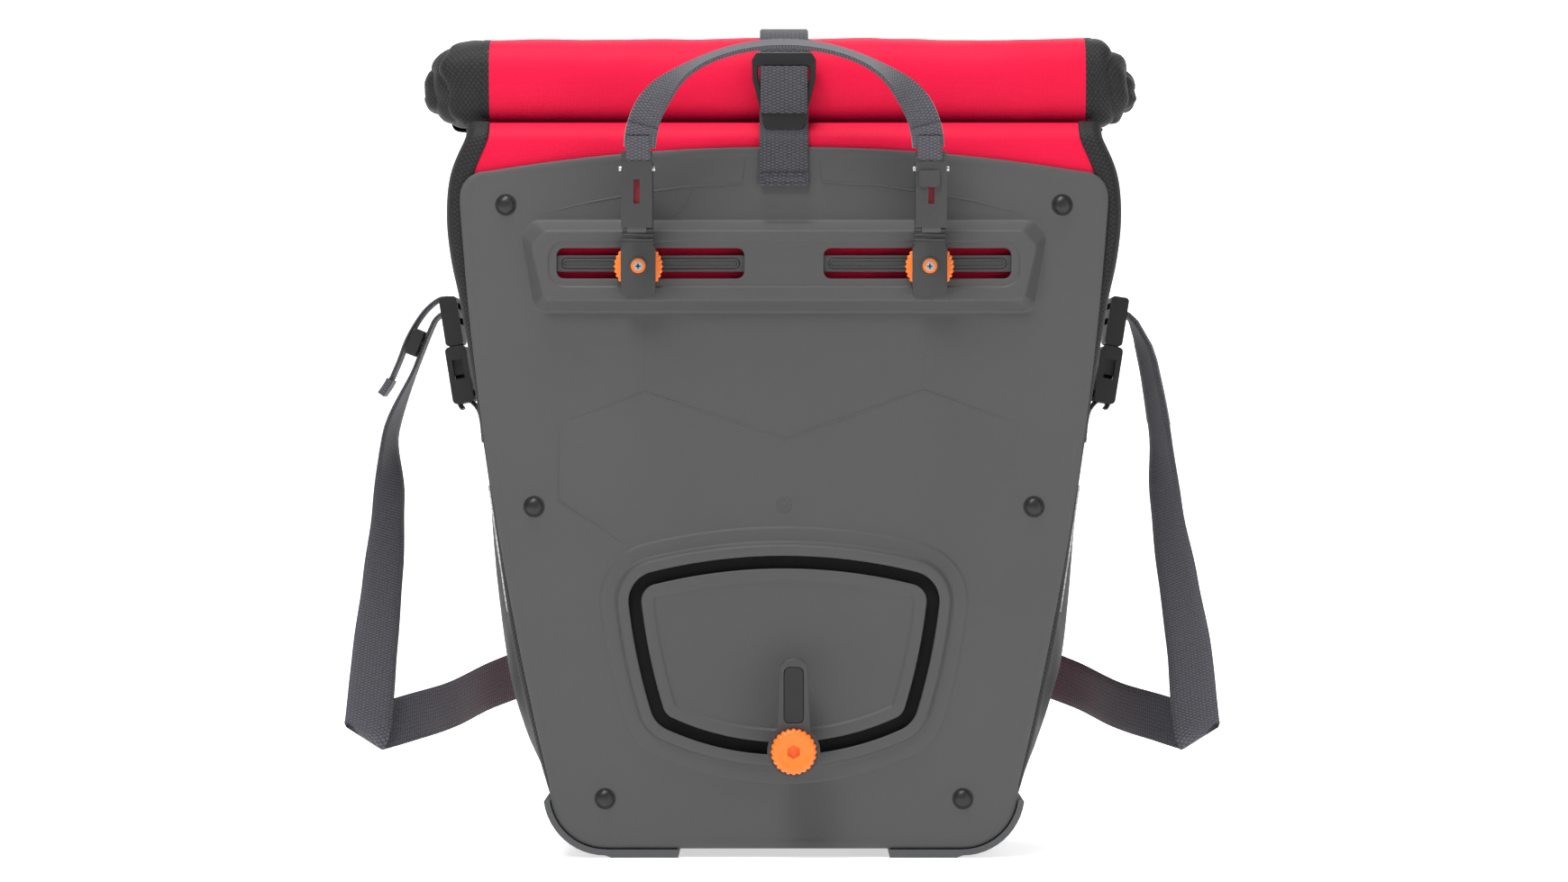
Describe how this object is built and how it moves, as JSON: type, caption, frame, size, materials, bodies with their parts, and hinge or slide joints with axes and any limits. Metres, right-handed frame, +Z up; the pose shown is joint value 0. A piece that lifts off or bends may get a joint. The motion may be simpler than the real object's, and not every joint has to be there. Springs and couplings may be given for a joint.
{
  "type": "pannier bag",
  "caption": "Roll-top bicycle pannier with a moulded back plate, sliding latch hooks for a rack rail, a swivelling lower stay hook, a closure strap, a carry handle and a shoulder strap.",
  "frame": {"origin": "bottom centre of the bag's box, on the surface its feet stand on", "axes": "+Z up, -Y towards the bicycle rack, +X to the right seen from the rack side"},
  "size_m": [0.4674, 0.2447, 0.4263],
  "materials": {
    "plate_plastic": "moulded, fine grain",
    "black_plastic": "moulded satin",
    "dark_plastic": "moulded satin",
    "guard_plastic": "moulded, fine grain",
    "orange_plastic": "moulded satin",
    "red_plastic": "moulded gloss",
    "bright_steel": "zinc plated",
    "red_tarpaulin": "coated tarpaulin, semi-matt",
    "charcoal_fabric": "coated woven polyester",
    "grey_webbing": "ribbed polyamide webbing",
    "dark_webbing": "ribbed polyamide webbing",
    "reflective_film": "retroreflective film"
  },
  "bodies": {
    "bag": {"back_plate": "plate_plastic", "rivets": "black_plastic", "rivet_washers": "bright_steel", "rail_left": "dark_plastic", "rail_right": "dark_plastic", "rack_panel": "red_tarpaulin", "outer_panel": "red_tarpaulin", "shoulder_panel": "red_tarpaulin", "corner_left": "charcoal_fabric", "corner_right": "charcoal_fabric", "corner_left_top": "charcoal_fabric", "corner_right_top": "charcoal_fabric", "gusset_left": "charcoal_fabric", "gusset_right": "charcoal_fabric", "bag_base": "charcoal_fabric", "base_board": "dark_plastic", "roll_top": "red_tarpaulin", "roll_end_left": "charcoal_fabric", "roll_end_right": "charcoal_fabric", "roll_stiffener": "dark_plastic", "guard_left": "guard_plastic", "guard_right": "guard_plastic", "reflector_left": "reflective_film", "reflector_right": "reflective_film", "carry_handle": "grey_webbing", "closure_strap": "dark_webbing", "closure_tail": "dark_webbing", "closure_anchor": "dark_webbing", "side_tab_left": "dark_webbing", "side_tab_right": "dark_webbing", "buckle_female_left": "black_plastic", "buckle_female_right": "black_plastic", "strap_adjuster": "black_plastic", "shoulder_strap": "grey_webbing"},
    "left_hook": {"hook_body_left": "dark_plastic", "hook_liner_left": "black_plastic", "latch_flag_left": "red_plastic", "clamp_screw_left": "bright_steel", "slide_shoe_left": "dark_plastic"},
    "right_hook": {"hook_body_right": "dark_plastic", "hook_liner_right": "black_plastic", "latch_flag_right": "red_plastic", "clamp_screw_right": "bright_steel", "slide_shoe_right": "dark_plastic"},
    "left_latch": {"latch_left": "black_plastic", "latch_pin_left": "bright_steel"},
    "left_wheel": {"thumbwheel_left": "orange_plastic"},
    "left_clip": {"buckle_male_left": "black_plastic"},
    "right_latch": {"latch_right": "black_plastic", "latch_pin_right": "bright_steel"},
    "right_wheel": {"thumbwheel_right": "orange_plastic"},
    "right_clip": {"buckle_male_right": "black_plastic"},
    "stay_carriage": {"groove_shoe": "bright_steel"},
    "stay_lever": {"stay_arm": "dark_plastic", "arm_pad": "black_plastic"},
    "stay_knob": {"knob": "orange_plastic"},
    "closure_frame": {"closure_buckle": "black_plastic"}
  },
  "joints": [
    {"name": "left_hook_slide", "type": "slide", "parent": "bag", "child": "left_hook", "axis": [1, 0, 0], "range_m": [-0.029, 0.041]},
    {"name": "left_latch_open", "type": "hinge", "parent": "left_hook", "child": "left_latch", "pos_m": [-0.074, -0.1077, 0.3497], "axis": [-1, 0, 0], "range_deg": [0, 28]},
    {"name": "left_wheel_spin", "type": "hinge", "parent": "left_hook", "child": "left_wheel", "pos_m": [-0.074, -0.0865, 0.3015], "axis": [0, 1, 0], "continuous": true},
    {"name": "left_clip_release", "type": "slide", "parent": "bag", "child": "left_clip", "axis": [-0.1564, 0, 0.9877], "range_m": [0, 0.022]},
    {"name": "right_hook_slide", "type": "slide", "parent": "bag", "child": "right_hook", "axis": [1, 0, 0], "range_m": [-0.041, 0.029]},
    {"name": "right_latch_open", "type": "hinge", "parent": "right_hook", "child": "right_latch", "pos_m": [0.074, -0.1077, 0.3497], "axis": [-1, 0, 0], "range_deg": [0, 28]},
    {"name": "right_wheel_spin", "type": "hinge", "parent": "right_hook", "child": "right_wheel", "pos_m": [0.074, -0.0865, 0.3015], "axis": [0, 1, 0], "continuous": true},
    {"name": "right_clip_release", "type": "slide", "parent": "bag", "child": "right_clip", "axis": [0.1564, 0, 0.9877], "range_m": [0, 0.022]},
    {"name": "stay_shift", "type": "hinge", "parent": "bag", "child": "stay_carriage", "pos_m": [0, -0.0755, 0.1964], "axis": [0, 1, 0], "range_deg": [-17, 21]},
    {"name": "stay_turn", "type": "hinge", "parent": "stay_carriage", "child": "stay_lever", "pos_m": [0.0049, -0.0925, 0.05609], "axis": [0, 1, 0], "continuous": true},
    {"name": "stay_knob_spin", "type": "hinge", "parent": "stay_carriage", "child": "stay_knob", "pos_m": [0.0049, -0.1025, 0.05609], "axis": [0, 1, 0], "continuous": true},
    {"name": "closure_tilt", "type": "hinge", "parent": "bag", "child": "closure_frame", "pos_m": [0, -0.068, 0.4102], "axis": [-1, 0, 0], "range_deg": [0, 60]}
  ],
  "couplings": [
    {"joint": "right_latch_open", "follows": "left_latch_open", "ratio": 1}
  ]
}
